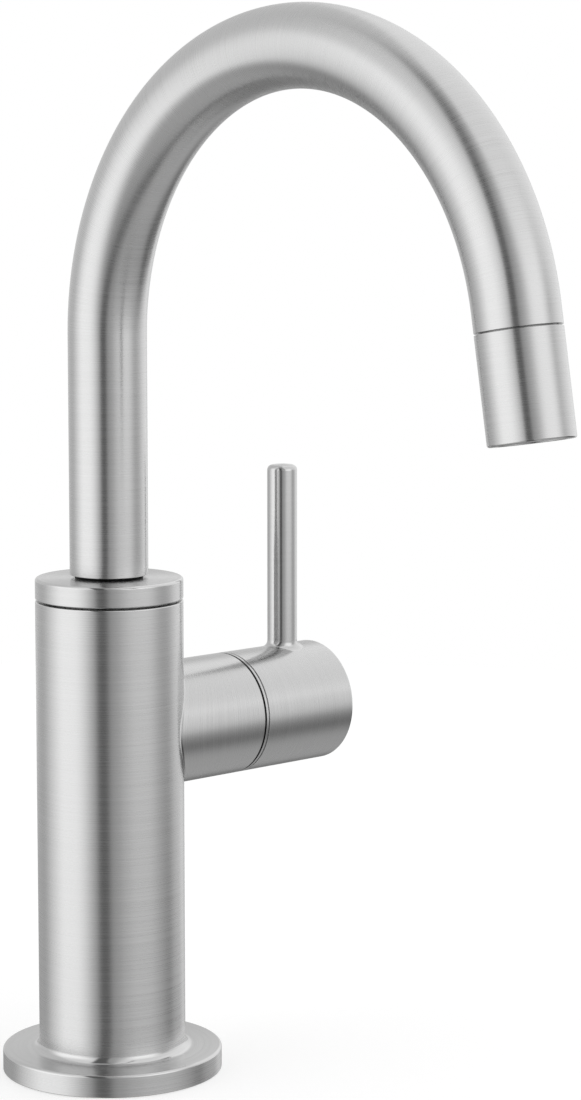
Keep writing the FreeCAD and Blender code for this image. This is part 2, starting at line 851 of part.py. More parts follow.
def aerator_screen():
    """Grid of square cells at the mouth that straightens the stream."""
    screen_radius = aerator_bore - fit_clearance
    start = sleeve_floor - screen_thickness
    plate = rod(screen_radius, start, sleeve_floor)
    pitch = screen_cell + screen_rib
    half_count = (screen_cells_across - 1) / 2
    cells = []
    for column in range(screen_cells_across):
        for row in range(screen_cells_across):
            x = (column - half_count) * pitch
            y = (row - half_count) * pitch
            corner_reach = math.hypot(abs(x) + screen_cell / 2, abs(y) + screen_cell / 2)
            if corner_reach < screen_radius - screen_rib:
                cell = block(screen_cell, screen_cell, start - overrun, sleeve_floor + overrun)
                cells.append(cell.translated(Vector(x, y, 0)))
    return on_outlet_axis(plate.cut(cells))


def rubber_washer():
    """Soft washer that bears on the underside of the deck."""
    bore = shank_radius + washer_bore_gap
    return ring(bore, rubber_washer_diameter / 2, -nut_drop - rubber_washer_thickness, -nut_drop)


def steel_washer():
    """Steel washer between the rubber washer and the nut."""
    top = -nut_drop - rubber_washer_thickness
    bore = shank_radius + washer_bore_gap
    return ring(bore, steel_washer_diameter / 2, top - steel_washer_thickness, top)


def mounting_nut():
    """Hexagon nut on the shank, its lower corners turned off."""
    top = -nut_drop - rubber_washer_thickness - steel_washer_thickness
    bottom = top - nut_height
    corner_radius = nut_hex / math.sqrt(3)
    envelope = turned(
        (shank_radius + running_clearance, bottom),
        (corner_radius - nut_chamfer, bottom),
        (corner_radius, bottom + nut_chamfer),
        (corner_radius, top),
        (shank_radius + running_clearance, top),
    )
    return hexagon(nut_hex, bottom, top).common(envelope)


pieces = [
    column_shell,
    base_gasket,
    top_cap,
    spout_bush,
    waterway_body,
    shank,
    inlet_tube,
    inlet_tube_oring,
    inlet_fitting,
    seat_seal,
    fixed_disc,
    cartridge_housing,
    cartridge_oring,
    bonnet_nut,
    glide_ring,
    moving_disc,
    valve_stem,
    stem_seal,
    handle_hub,
    handle_lever,
    handle_set_screw,
    spout_tube,
    spout_stem,
    spout_orings,
    retaining_clip,
    thrust_washer,
    outlet_nipple,
    outlet_sleeve,
    aerator_gasket,
    aerator_housing,
    aerator_screen,
    rubber_washer,
    steel_washer,
    mounting_nut,
]

os.makedirs("parts", exist_ok=True)
for piece in pieces:
    piece().exportStep("parts/" + piece.__name__ + ".step")
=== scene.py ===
import math

import bpy
import numpy as np
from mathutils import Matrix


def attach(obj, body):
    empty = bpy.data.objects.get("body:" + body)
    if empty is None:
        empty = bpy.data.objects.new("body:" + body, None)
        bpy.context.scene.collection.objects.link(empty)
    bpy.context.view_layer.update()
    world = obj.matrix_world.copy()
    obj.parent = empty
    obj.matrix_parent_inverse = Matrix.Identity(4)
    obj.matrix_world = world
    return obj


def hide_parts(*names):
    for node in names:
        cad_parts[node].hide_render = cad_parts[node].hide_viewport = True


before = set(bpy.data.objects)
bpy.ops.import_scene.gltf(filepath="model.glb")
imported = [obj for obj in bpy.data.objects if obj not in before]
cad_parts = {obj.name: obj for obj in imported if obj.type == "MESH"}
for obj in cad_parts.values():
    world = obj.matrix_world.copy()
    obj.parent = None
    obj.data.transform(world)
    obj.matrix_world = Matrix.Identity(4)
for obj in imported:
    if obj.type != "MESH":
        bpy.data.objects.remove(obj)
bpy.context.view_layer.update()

# Column, deck flange and handle stub
# One hollow stainless casting, turned all over and then brushed round its axis.
# The stub on its side is faired into the column with a small fillet and brushed round its own axis.


def section(corners, closed=True, longest=1e9, arc_steps=6):
    """Points, outward normals and running length of a section through corners (radius, height, rounding).

    Straight runs join the corners and a rounded corner becomes an arc that touches both runs. The corners go
    anticlockwise, so that outward is to the right of the way they go.
    """
    corner = np.array([(*c, 0.0)[:3] for c in corners])
    count = len(corner)
    points, normals = [], []
    for i in range(count):
        here, rounding = corner[i, :2], corner[i, 2]
        first, last = not closed and i == 0, not closed and i == count - 1
        after = corner[(i + 1) % count, :2] - here
        before = after if first else here - corner[i - 1, :2]
        after = before if last else after
        before, after = before / np.hypot(*before), after / np.hypot(*after)
        turn = math.atan2(before[0] * after[1] - before[1] * after[0], before @ after)
        tilt = math.atan2(-before[0], before[1]) + turn * np.linspace(0, 1, arc_steps + 1 if rounding else 2)
        arc_normals = np.stack([np.cos(tilt), np.sin(tilt)], 1)
        bulge = math.copysign(rounding, turn)
        start = here - before * rounding * math.tan(abs(turn) / 2)
        arc = start + bulge * (arc_normals - arc_normals[0])
        if points:
            run = np.hypot(*(arc[0] - points[-1][-1]))
            part = np.linspace(0, 1, math.ceil(run / longest) + 1)[1:-1, None]
            points.append(points[-1][-1] * (1 - part) + arc[0] * part)
            normals.append(np.repeat(arc_normals[:1], len(part), 0))
        points.append(arc)
        normals.append(arc_normals)
    if closed:
        run = np.hypot(*(points[0][0] - points[-1][-1]))
        part = np.linspace(0, 1, math.ceil(run / longest) + 1)[1:, None]
        points.append(points[-1][-1] * (1 - part) + points[0][0] * part)
        normals.append(np.repeat(normals[0][:1], len(part), 0))
    points, normals = np.concatenate(points), np.concatenate(normals)
    along = np.concatenate([[0], np.cumsum(np.hypot(*np.diff(points, axis=0).T))])
    return points, normals, along


def upright(height, x=0.0):
    """A straight path up: its centre, two directions across it and its own direction at each height."""
    ones = np.ones_like(height)[:, None]
    centre = np.stack([x + 0 * height, 0 * height, height], 1)
    return centre, ones * [1.0, 0, 0], ones * [0, 1.0, 0], ones * [0, 0, 1.0]


def carried(profile, path, columns=192):
    """A section carried round a path.

    Point = centre(h) + r (cos a across(h) + sin a lift(h)), with r and h along the section
    and a round the path.
    """
    points, normals, along = profile
    angle = np.linspace(0, 2 * np.pi, columns + 1)
    centre, across, lift, forward = path(points[:, 1])
    radial = np.cos(angle)[None, :, None] * across[:, None] + np.sin(angle)[None, :, None] * lift[:, None]
    place = centre[:, None] + points[:, 0, None, None] * radial
    normal = normals[:, 0, None, None] * radial + normals[:, 1, None, None] * forward[:, None]
    edge = np.repeat(np.abs(normals[:, 1:]), columns + 1, 1)
    return place, normal, *np.meshgrid(along, angle, indexing="ij"), edge


def holed_wall(radius, low, high, hole, middle, path, reach=40, half=20.0, facing=1, columns=192, rows=40,
               rings=8):
    """A round wall from low to high with a round hole of that radius at height middle, on the across side.

    Round the hole, a window of the wall's grid of angle and height is drawn in towards the hole's rim:
    (angle, height) = (1 - w) window edge + w rim. The window reaches that many columns to each side and
    half its height up and down. Returns the grids and the directions t round the hole.
    """
    whole = np.linspace(0, 2 * np.pi, columns + 1)
    inside = np.arange(-reach, reach + 1) * 2 * np.pi / columns
    heights = np.linspace(middle - half, middle + half, rows + 1)
    edge_angle = np.concatenate([
        inside[:-1], inside[-1] + 0 * heights[:-1], inside[:0:-1], inside[0] + 0 * heights,
    ])
    edge_height = np.concatenate([
        heights[0] + 0 * inside[:-1], heights[:-1], heights[-1] + 0 * inside[1:], heights[::-1],
    ])
    t = np.arctan2((edge_height - middle) / half, edge_angle / inside[-1])
    w = np.linspace(0, 1, rings + 1)[:, None]
    ring_angle = (1 - w) * edge_angle + w * np.arcsin(hole * np.cos(t) / radius)
    ring_height = (1 - w) * edge_height + w * (middle + hole * np.sin(t))
    grids = [
        np.meshgrid([low, heights[0]], whole, indexing="ij"),
        np.meshgrid([heights[-1], high], whole, indexing="ij"),
        np.meshgrid(heights, whole[reach:columns - reach + 1], indexing="ij"),
        (ring_height, ring_angle),
    ]
    patches = []
    for height, angle in grids:
        centre, across, lift, _ = path(height.ravel())
        normal = np.cos(angle.ravel())[:, None] * across + np.sin(angle.ravel())[:, None] * lift
        place = (centre + radius * normal).reshape(*height.shape, 3)
        patches.append((place, facing * normal.reshape(place.shape), height, angle, 0 * angle))
    return patches, t


def piece(name, patches, body, stands_for, material):
    """One closed mesh from grids of points, normals, distance along, angle round and edge.

    Points that meet are joined. The UV map holds the distance along and round in metres. The attribute grain
    holds the distance along with a point on a circle for the angle, so that brush lines meet where the grid
    closes. The attribute edge is 0 on walls, 1 on end faces and between them on the rounded edges.
    """
    mean_radius, joining_steps_per_metre = 15.0, 1e6
    place, normal, along, angle, edge, quads = [], [], [], [], [], []
    total = 0
    for grid, grid_normal, grid_along, grid_angle, grid_edge in patches:
        index = total + np.arange(grid_along.size).reshape(grid_along.shape)
        quad = np.stack([index[:-1, :-1], index[:-1, 1:], index[1:, 1:], index[1:, :-1]], -1)
        facing = np.cross(grid[1:, 1:] - grid[:-1, :-1], grid[1:, :-1] - grid[:-1, 1:])
        if (facing * grid_normal[:-1, :-1]).sum() < 0:
            quad = quad[..., ::-1]
        quads.append(quad.reshape(-1, 4))
        place.append(grid.reshape(-1, 3))
        normal.append(grid_normal.reshape(-1, 3))
        along.append(grid_along.ravel())
        angle.append(grid_angle.ravel())
        edge.append(grid_edge.ravel())
        total += grid_along.size
    place, normal, quads = np.concatenate(place) / 1000, np.concatenate(normal), np.concatenate(quads)
    along, angle, edge = np.concatenate(along) / 1000, np.concatenate(angle), np.concatenate(edge)
    rounded = np.round(place * joining_steps_per_metre).astype(int)
    _, kept, joined = np.unique(rounded, axis=0, return_index=True, return_inverse=True)
    joined = joined.ravel()
    same = joined[quads] == joined[np.roll(quads, -1, 1)]
    quad_faces = quads[same.sum(1) == 0]
    pinched = same.sum(1) == 1
    triangles = quads[pinched][~np.roll(same[pinched], 1, 1)].reshape(-1, 3)
    mesh = bpy.data.meshes.new(name)
    mesh.from_pydata(place[kept].tolist(), [], joined[quad_faces].tolist() + joined[triangles].tolist())
    corner = np.concatenate([quad_faces.ravel(), triangles.ravel()])
    round_way = mean_radius / 1000 * angle[corner]
    uv = mesh.uv_layers.new(name="along_and_round")
    uv.data.foreach_set("uv", np.stack([along[corner], round_way], 1).ravel())
    grain = mesh.attributes.new("grain", "FLOAT_VECTOR", "CORNER")
    circle = mean_radius / 1000 * np.stack([np.cos(angle[corner]), np.sin(angle[corner])], 1)
    grain.data.foreach_set("vector", np.column_stack([along[corner], circle]).ravel())
    mesh.attributes.new("edge", "FLOAT", "CORNER").data.foreach_set("value", edge[corner])
    mesh.shade_smooth()
    mesh.normals_split_custom_set(normal[corner].tolist())
    mesh.materials.append(material)
    made = bpy.data.objects.new(name, mesh)
    bpy.context.scene.collection.objects.link(made)
    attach(made, body)
    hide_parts(*stands_for)
    return made


def linear(colour):
    """An sRGB hex colour as linear red, green, blue and alpha.

    Linear = value / 12.92 up to 0.04045, and ((value + 0.055) / 1.055) to the power 2.4 above it.
    """
    value = np.array([int(colour[i:i + 2], 16) for i in (1, 3, 5)]) / 255
    return (*np.where(value <= 0.04045, value / 12.92, ((value + 0.055) / 1.055) ** 2.4).tolist(), 1.0)


def add(tree, kind, settings=None, inputs=None):
    """Adds a node, sets its properties and sets or links its inputs. Returns its first output."""
    node = tree.nodes.new(kind)
    for key, value in (settings or {}).items():
        setattr(node, key, value)
    for key, value in (inputs or {}).items():
        if isinstance(value, bpy.types.NodeSocket):
            tree.links.new(value, node.inputs[key])
        else:
            node.inputs[key].default_value = value
    return node.outputs[0] if node.outputs else node


def brushed(name, dark, light, roughness, spread, edge_roughness, face_roughness, anisotropy):
    """Brushed metal: fine lines round the piece vary its colour and roughness by spread.

    The shine spreads across the lines. Rounded edges and end faces have a roughness of their own.
    """
    material = bpy.data.materials.new(name)
    material.use_nodes = True
    tree = material.node_tree
    tree.nodes.clear()
    grain = add(tree, "ShaderNodeAttribute", {"attribute_name": "grain"}).node.outputs["Vector"]
    edge = add(tree, "ShaderNodeAttribute", {"attribute_name": "edge"}).node.outputs["Fac"]
    # Real brush lines are about 0.05 mm wide; these are 0.22 mm, so that they show
    line_thickness, line_length, patch_size = 0.22, 50.0, 20.0
    noise_low, noise_high = 0.3, 0.7
    edge_start, face_start = 0.25, 0.85
    stretched = add(tree, "ShaderNodeVectorMath", {"operation": "MULTIPLY"},
                    {0: grain, 1: (1000 / line_thickness, 1000 / line_length, 1000 / line_length)})
    lines = add(tree, "ShaderNodeTexNoise", None, {"Vector": stretched, "Scale": 1.0, "Detail": 2.0})
    patches = add(tree, "ShaderNodeTexNoise", None,
                  {"Vector": grain, "Scale": 1000 / patch_size, "Detail": 2.0})
    share = add(tree, "ShaderNodeMapRange", None,
                {"Value": lines, "From Min": noise_low, "From Max": noise_high})
    shade = add(tree, "ShaderNodeMix", {"data_type": "RGBA"}, {0: share, 6: linear(dark), 7: linear(light)})
    rough = add(tree, "ShaderNodeMapRange", None,
                {"Value": lines, "From Min": noise_low, "From Max": noise_high, "To Min": roughness - spread,
                 "To Max": roughness + spread})
    rough = add(tree, "ShaderNodeMath", {"operation": "MULTIPLY_ADD"}, {0: patches, 1: spread / 2, 2: rough})
    at_edge = add(tree, "ShaderNodeMapRange", None, {"Value": edge, "From Min": 0.0, "From Max": edge_start})
    rough = add(tree, "ShaderNodeMix", None, {0: at_edge, 2: rough, 3: edge_roughness})
    at_face = add(tree, "ShaderNodeMapRange", None, {"Value": edge, "From Min": face_start, "From Max": 1.0})
    rough = add(tree, "ShaderNodeMix", None, {0: at_face, 2: rough, 3: face_roughness})
    tangent = add(tree, "ShaderNodeTangent", {"direction_type": "UV_MAP", "uv_map": "along_and_round"})
    shader = add(tree, "ShaderNodeBsdfPrincipled", None,
                 {"Base Color": shade.node.outputs[2], "Metallic": 1.0, "Roughness": rough,
                  "Anisotropic": anisotropy, "Tangent": tangent})
    add(tree, "ShaderNodeOutputMaterial", None, {"Surface": shader})
    return material


# Lengths are in millimetres, with +Z up, the spout towards -Y and the handle towards +X
flange_radius, flange_thickness, flange_edge, flange_low_edge = 27.0, 5.5, 0.7, 0.2
gasket_radius, gasket_depth, foot_fillet, broken_edge = 25.0, 1.5, 2.0, 0.1
column_radius, column_bore, column_top, column_edge = 18.0, 15.5, 116.6, 0.3
cap_socket, web_bore, web_low, web_high = 14.2, 10.55, 104.0, 107.0
stub_radius, stub_bore, stub_end, stub_axis = 15.2, 12.3, 37.65, 84.0
stub_edge, stub_mouth_edge, stub_fillet, fillet_steps = 0.3, 0.4, 0.6, 8
passage_radius, cartridge_seat = 9.85, 20.0
wall_low, wall_high, bore_high, bore_window = 20.0, 112.0, 103.0, 18.0
# Brushed stainless steel: a soft grey shine, drawn out across fine lines and clearer on the edges
steel = brushed("brushed_stainless_steel", "#c7c7c7", "#d0d0d0", roughness=0.28, spread=0.03,
                edge_roughness=0.13, face_roughness=0.27, anisotropy=0.85)

# The flange with the column's foot, the column's mouth with the web under it, and the bore's lower end
foot = carried(section([
    (column_bore, gasket_depth), (gasket_radius, gasket_depth), (gasket_radius, 0.0, broken_edge),
    (flange_radius, 0.0, flange_low_edge), (flange_radius, flange_thickness, flange_edge),
    (column_radius, flange_thickness, foot_fillet), (column_radius, wall_low),
], closed=False), upright)
head = carried(section([
    (column_radius, wall_high), (column_radius, column_top, column_edge),
    (cap_socket, column_top, broken_edge), (cap_socket, web_high), (web_bore, web_high), (web_bore, web_low),
    (column_bore, web_low), (column_bore, bore_high),
], closed=False), upright)
low_bore = carried(section([(column_bore, wall_low), (column_bore, gasket_depth)], closed=False), upright)
outer, t = holed_wall(column_radius, wall_low, wall_high, stub_radius + stub_fillet, stub_axis, upright)
inner, _ = holed_wall(column_bore, wall_low, bore_high, passage_radius, stub_axis, upright, half=bore_window,
                      facing=-1)


def saddle(radius, on):
    """Where a tube of that radius round the handle's axis meets an upright cylinder of radius on."""
    return np.stack([np.sqrt(on ** 2 - (radius * np.cos(t)) ** 2), radius * np.cos(t),
                     stub_axis + radius * np.sin(t)], 1)


def fairing(angle, start, start_normal, corner, end, end_normal, along_axis, steps):
    """A fillet between two lines with points at each angle, drawn towards the line where the surfaces meet.

    Point = (1 - w) squared start + 2 w (1 - w) corner + w squared end, with w from 0 to 1. Its normal turns
    from one line's to the other's. The distance along is read on the axis with that number.
    """
    w = np.linspace(0, 1, steps)[:, None, None]
    place = (1 - w) ** 2 * start + 2 * w * (1 - w) * corner + w ** 2 * end
    normal = (1 - w) * start_normal + w * end_normal
    normal = normal / np.linalg.norm(normal, axis=-1, keepdims=True)
    flat = 0 * place[..., 0]
    return place, normal, place[..., along_axis], angle + flat, 0.5 + flat


corner_line = saddle(stub_radius, column_radius)
stub_normal = np.stack([0 * t, np.cos(t), np.sin(t)], 1)
on_column = saddle(stub_radius + stub_fillet, column_radius)
column_normal = on_column * [1, 1, 0] / column_radius
fillet = fairing(t, on_column, column_normal, corner_line, corner_line + [stub_fillet, 0, 0], stub_normal, 0,
                 fillet_steps)

# The stub's first and last rows are moved on to the fillet and to the bore, wherever they start
stub_start, passage_start = 19.0, 17.0
points, normals, along = section([
    (stub_radius, stub_start), (stub_radius, stub_end, stub_edge), (stub_bore, stub_end, stub_mouth_edge),
    (stub_bore, cartridge_seat), (passage_radius, cartridge_seat), (passage_radius, passage_start),
], closed=False)
reach, station, along = points[:, 0, None], points[:, 1, None], along[:, None]
stub_place = np.stack([station + 0 * t, reach * np.cos(t), stub_axis + reach * np.sin(t)], -1)
stub_place[:2] = fillet[0][-1]
stub_place[-2:] = saddle(passage_radius, column_bore)
stub_normals = normals[:, 0, None, None] * stub_normal + normals[:, 1, None, None] * [1.0, 0, 0]
stub = (stub_place, stub_normals, along + 0 * t, t + 0 * along, np.abs(normals[:, 1:]) + 0 * t)
piece("column", [foot, head, low_bore, *outer, *inner, fillet, stub], "faucet_body", ["column_shell"], steel)

# Top cap
# A turned stainless cap that screws into the column's mouth; a dark parting line is left under it.
# The spout's black bush sits in the hole in its middle.
cap_bottom, cap_top, cap_under_edge, cap_edge = 117.05, 122.2, 0.3, 0.7
cap_bore, cap_roof, skirt_radius, skirt_bore = 7.6, 117.5, 14.1, 11.5
cap = section([
    (skirt_bore, web_high), (skirt_radius, web_high), (skirt_radius, cap_bottom),
    (column_radius, cap_bottom, cap_under_edge), (column_radius, cap_top, cap_edge),
    (cap_bore, cap_top, broken_edge), (cap_bore, cap_roof), (skirt_bore, cap_roof),
])
piece("cap", [carried(cap, upright)], "faucet_body", ["top_cap"], steel)

# Gooseneck
# A 3/4 in stainless tube, bent on a mandrel through 170 degrees, so its section stays round.
# It is brushed with a belt that goes round it, so that the fine lines run round the tube.
tube_bottom, bend_start, bend_radius, bend_angle = 122.95, 181.0, 67.4, math.radians(170)
outlet_straight, tube_radius, tube_bore = 4.3, 9.525, 8.325
tube_low_edge, joint_edge, tube_step, tube_columns = 0.2, 0.15, 1.2, 128
tube_end = bend_start + bend_radius * bend_angle + outlet_straight


def gooseneck(height):
    """The spout's path: straight up, round a circle towards -Y, then straight on; height counts along it."""
    turn = np.clip((height - bend_start) / bend_radius, 0, bend_angle)
    forward = np.stack([0 * turn, -np.sin(turn), np.cos(turn)], 1)
    lift = np.stack([0 * turn, np.cos(turn), np.sin(turn)], 1)
    across = np.ones_like(turn)[:, None] * [1.0, 0, 0]
    bend = np.stack([0 * turn, bend_radius * (np.cos(turn) - 1),
                     np.minimum(height, bend_start) + bend_radius * np.sin(turn)], 1)
    after = np.maximum(height - bend_start - bend_radius * bend_angle, 0)
    return bend + after[:, None] * forward, across, lift, forward


tube = section([
    (tube_bore, tube_bottom), (tube_radius, tube_bottom, tube_low_edge), (tube_radius, tube_end, joint_edge),
    (tube_bore, tube_end),
], longest=tube_step)
tube = carried(tube, gooseneck, tube_columns)
piece("gooseneck", [tube], "spout", ["spout_tube"], steel)

# Outlet sleeve
# A turned stainless sleeve on the end of the gooseneck, flush with the tube, with a lip for the aerator.
# It screws on a nipple in the tube's end, and a fine dark joint is left between the two.
sleeve_start, sleeve_end, lip_start = tube_end + 0.3, tube_end + 24.0, tube_end + 22.4
sleeve_bore, sleeve_edge, lip_bore, lip_edge = 8.375, 0.5, 7.475, 0.2
sleeve = section([
    (sleeve_bore, sleeve_start), (tube_radius, sleeve_start, joint_edge),
    (tube_radius, sleeve_end, sleeve_edge), (lip_bore, sleeve_end, lip_edge),
    (lip_bore, lip_start), (sleeve_bore, lip_start),
])
sleeve = carried(sleeve, gooseneck, tube_columns)
piece("sleeve", [sleeve], "spout", ["outlet_sleeve"], steel)

# Handle hub
# A turned stainless hub on the valve's spindle, as wide as the stub it meets, hollow at the front.
# A set screw in a hole underneath holds it to the spindle.
hub_start, hub_end, hub_radius, hub_edge = 38.1, 68.2, 15.2, 0.8
hub_low, hub_high, line_start, line_end, line_radius = 40.0, 62.0, 38.78, 39.14, 14.7
cavity_radius, cavity_floor, cavity_edge, socket_radius, socket_end = 12.2, 43.1, 0.3, 4.05, 52.15
screw_station, screw_hole, hub_window, socket_window = 47.6, 2.05, 6.0, 3.5


def handle_axis(station):
    """The handle's axis, level along +X; the across direction points down, to the set screw."""
    ones = np.ones_like(station)[:, None]
    centre = np.stack([station, 0 * station, stub_axis + 0 * station], 1)
    return centre, ones * [0, 0, -1.0], ones * [0, 1.0, 0], ones * [1.0, 0, 0]


hub_front = carried(section([
    (socket_radius, cavity_floor), (cavity_radius, cavity_floor), (cavity_radius, hub_start, cavity_edge),
    (hub_radius, hub_start, broken_edge), (hub_radius, line_start, broken_edge), (line_radius, line_start),
    (line_radius, line_end), (hub_radius, line_end, broken_edge), (hub_radius, hub_low),
], closed=False), handle_axis)
hub_back = carried(section([
    (hub_radius, hub_high), (hub_radius, hub_end, hub_edge), (0.0, hub_end),
], closed=False), handle_axis)
socket_floor = carried(section([(0.0, socket_end), (socket_radius, socket_end)], closed=False), handle_axis)
window_grid = {"reach": 24, "rows": 24, "rings": 6}
hub_wall, t = holed_wall(hub_radius, hub_low, hub_high, screw_hole, screw_station, handle_axis,
                         half=hub_window, **window_grid)
socket_wall, _ = holed_wall(socket_radius, cavity_floor, socket_end, screw_hole, screw_station, handle_axis,
                            half=socket_window, facing=-1, **window_grid)
# The screw's hole goes from the hub's wall to the spindle's socket
depth = np.sqrt(np.array([[hub_radius], [socket_radius]]) ** 2 - (screw_hole * np.cos(t)) ** 2)
hole_place = np.stack([
    screw_station + screw_hole * np.sin(t) + 0 * depth, screw_hole * np.cos(t) + 0 * depth, stub_axis - depth,
], -1)
hole_normal = np.stack([-np.sin(t), -np.cos(t), 0 * t], 1) + 0 * hole_place
hole = (hole_place, hole_normal, depth, t + 0 * depth, 0 * depth)
hub = [hub_front, hub_back, *hub_wall, *socket_wall, socket_floor, hole]
piece("hub", hub, "handle", ["handle_hub"], steel)

# Lever
# A thin turned stainless rod, screwed into the crown of the hub and smoother than the rest.
# Its foot is faired into the hub with a fillet that follows the hub's round.
lever_radius, lever_station, lever_top, lever_edge, lever_seat = 3.8, 57.3, 145.5, 1.3, 97.45
lever_fillet, lever_fillet_steps, rod_start, plug_top, lever_columns = 1.6, 9, 101.0, 98.0, 96
# Fine-brushed stainless steel: like the rest, with fainter lines and a clearer shine
lever_steel = brushed("fine_brushed_stainless_steel", "#c3c3c3", "#c8c8c8", roughness=0.19, spread=0.015,
                      edge_roughness=0.12, face_roughness=0.18, anisotropy=0.8)
t = np.linspace(0, 2 * np.pi, lever_columns + 1)
out = np.stack([np.cos(t), np.sin(t), 0 * t], 1)


def lever_axis(height):
    """The lever's axis: straight up from the handle's."""
    return upright(height, lever_station)


def on_hub(radius):
    """Where an upright tube of that radius round the lever's axis meets the hub."""
    height = np.sqrt(hub_radius ** 2 - (radius * out[:, 1:2]) ** 2)
    return [lever_station, 0, stub_axis] + radius * out + height * [0, 0, 1]


foot_radius = lever_radius + lever_fillet
foot_line = on_hub(foot_radius)
foot_normal = (foot_line - [0, 0, stub_axis]) * [0, 1, 1] / hub_radius
corner_line = on_hub(lever_radius)
fillet = fairing(t, foot_line, foot_normal, corner_line, corner_line + [0, 0, lever_fillet], out, 2,
                 lever_fillet_steps)
# The rod's first row is moved on to the fillet, and the plug's upper rows on to the foot's line
rod = carried(section([
    (lever_radius, rod_start), (lever_radius, lever_top, lever_edge), (0.0, lever_top),
], closed=False), lever_axis, lever_columns)
rod[0][0] = fillet[0][-1]
plug = carried(section([
    (0.0, lever_seat), (foot_radius, lever_seat), (foot_radius, plug_top),
], closed=False), lever_axis, lever_columns)
plug[0][-2:] = foot_line
piece("lever", [plug, fillet, rod], "handle", ["handle_lever"], lever_steel)

# Black bush under the spout and glide ring under the hub
# Both are moulded acetal. The bush is pressed into the cap, holds the tube off it and lets the stem turn.
# The ring sits in the stub's mouth and fills the joint that the hub turns past; its black stands in for the
# shade in that joint, as painted shade.


def plain(name, dark, light, metallic, roughness, spread, grain, relief, shine=0.5):
    """A plain finish. Noise varies its colour, its roughness by spread and its relief.

    The grain is the noise's size along X, Y and Z in millimetres. Real marks are often finer; they are drawn
    this coarse so that they show.
    """
    material = bpy.data.materials.new(name)
    material.use_nodes = True
    tree = material.node_tree
    tree.nodes.clear()
    place = add(tree, "ShaderNodeTexCoord").node.outputs["Object"]
    stretched = add(tree, "ShaderNodeVectorMath", {"operation": "MULTIPLY"},
                    {0: place, 1: tuple(1000 / size for size in grain)})
    speckle = add(tree, "ShaderNodeTexNoise", None, {"Vector": stretched, "Scale": 1.0, "Detail": 3.0})
    shade = add(tree, "ShaderNodeMix", {"data_type": "RGBA"}, {0: speckle, 6: linear(dark), 7: linear(light)})
    noise_low, noise_high = 0.3, 0.7
    rough = add(tree, "ShaderNodeMapRange", None,
                {"Value": speckle, "From Min": noise_low, "From Max": noise_high,
                 "To Min": roughness - spread, "To Max": roughness + spread})
    quarter_grain = min(grain) / 4000
    bump = add(tree, "ShaderNodeBump", None,
               {"Height": speckle, "Strength": relief, "Distance": quarter_grain})
    shader = add(tree, "ShaderNodeBsdfPrincipled", None,
                 {"Base Color": shade.node.outputs[2], "Metallic": metallic, "Roughness": rough,
                  "Normal": bump, "Specular IOR Level": shine})
    add(tree, "ShaderNodeOutputMaterial", None, {"Surface": shader})
    return material


def dress(material, slot, *names):
    """Gives CAD nodes a finish."""
    for name in names:
        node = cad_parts[name]
        node.data.materials.clear()
        node.data.materials.append(material)


# Moulded black acetal, partly painted shade: an even, dull black that hardly shines, darker than the plastic
# alone, so that both joints read as dark lines of painted shade
black_acetal = plain("moulded_acetal_darkened_as_painted_shade", "#050505", "#0b0b0b", metallic=0.0, roughness=0.5,
                     spread=0.06, grain=(0.5, 0.5, 0.5), relief=0.1, shine=0.1)
dress(black_acetal, "black_acetal", "spout_bush", "glide_ring")

# Aerator and the nipple above it
# The nipple is turned stainless, fixed in the tube's end, and the sleeve screws on it.
# The aerator is moulded acetal with a grey screen, and the sleeve's lip holds it up against a rubber gasket.

# Turned stainless steel: a plain grey shine with fine rings from the lathe
turned_steel = plain("turned_stainless_steel", "#8f8f8f", "#a3a3a3", metallic=1.0, roughness=0.34,
                     spread=0.05, grain=(1.5, 1.5, 0.2), relief=0.1)
# Moulded acetal: a slightly waxy surface, in a warm white and in a mid grey
white_acetal = plain("moulded_white_acetal", "#dcdbd4", "#e8e7e1", metallic=0.0, roughness=0.42,
                     spread=0.06, grain=(0.6, 0.6, 0.6), relief=0.1)
grey_acetal = plain("moulded_grey_acetal", "#6a6c70", "#777a7e", metallic=0.0, roughness=0.45,
                    spread=0.06, grain=(0.5, 0.5, 0.5), relief=0.1)
# Nitrile rubber: a dull black, a little uneven
rubber = plain("black_nitrile_rubber", "#141414", "#1f1f1f", metallic=0.0, roughness=0.72,
               spread=0.08, grain=(0.3, 0.3, 0.3), relief=0.25)
dress(turned_steel, "brushed_stainless", "outlet_nipple")
dress(white_acetal, "white_acetal", "aerator_housing")
dress(grey_acetal, "grey_acetal", "aerator_screen")
dress(rubber, "black_rubber", "aerator_gasket")

# Spout bearing
# A turned brass stem, brazed into the tube, turns in the waterway on two rubber rings.
# A sprung steel clip in a groove keeps it in, and an acetal washer takes the wear.

# Turned brass: a warm yellow shine with fine rings round the upright axis
upright_brass = plain("turned_brass", "#b48a3c", "#cba552", metallic=1.0, roughness=0.28,
                      spread=0.06, grain=(4.0, 4.0, 0.2), relief=0.15)
# Rolled spring steel: a darker grey with streaks along the roll
spring_steel = plain("rolled_spring_steel", "#77797c", "#8e9093", metallic=1.0, roughness=0.32,
                     spread=0.05, grain=(0.4, 3.0, 0.4), relief=0.15)
dress(upright_brass, "brass", "spout_stem")
dress(rubber, "black_rubber", "spout_orings")
dress(spring_steel, "spring_steel", "retaining_clip")
dress(white_acetal, "white_acetal", "thrust_washer")

# Waterway and valve
# A forged brass block carries the water, and a cartridge with two lapped ceramic discs sits in the stub.
# A brass nut holds the cartridge and a black set screw holds the hub on the stem.

# Machined forged brass: a deeper yellow, less even than turned brass
forged_brass = plain("machined_forged_brass", "#ab8238", "#c09a4a", metallic=1.0, roughness=0.36,
                     spread=0.07, grain=(1.2, 1.2, 0.3), relief=0.2)
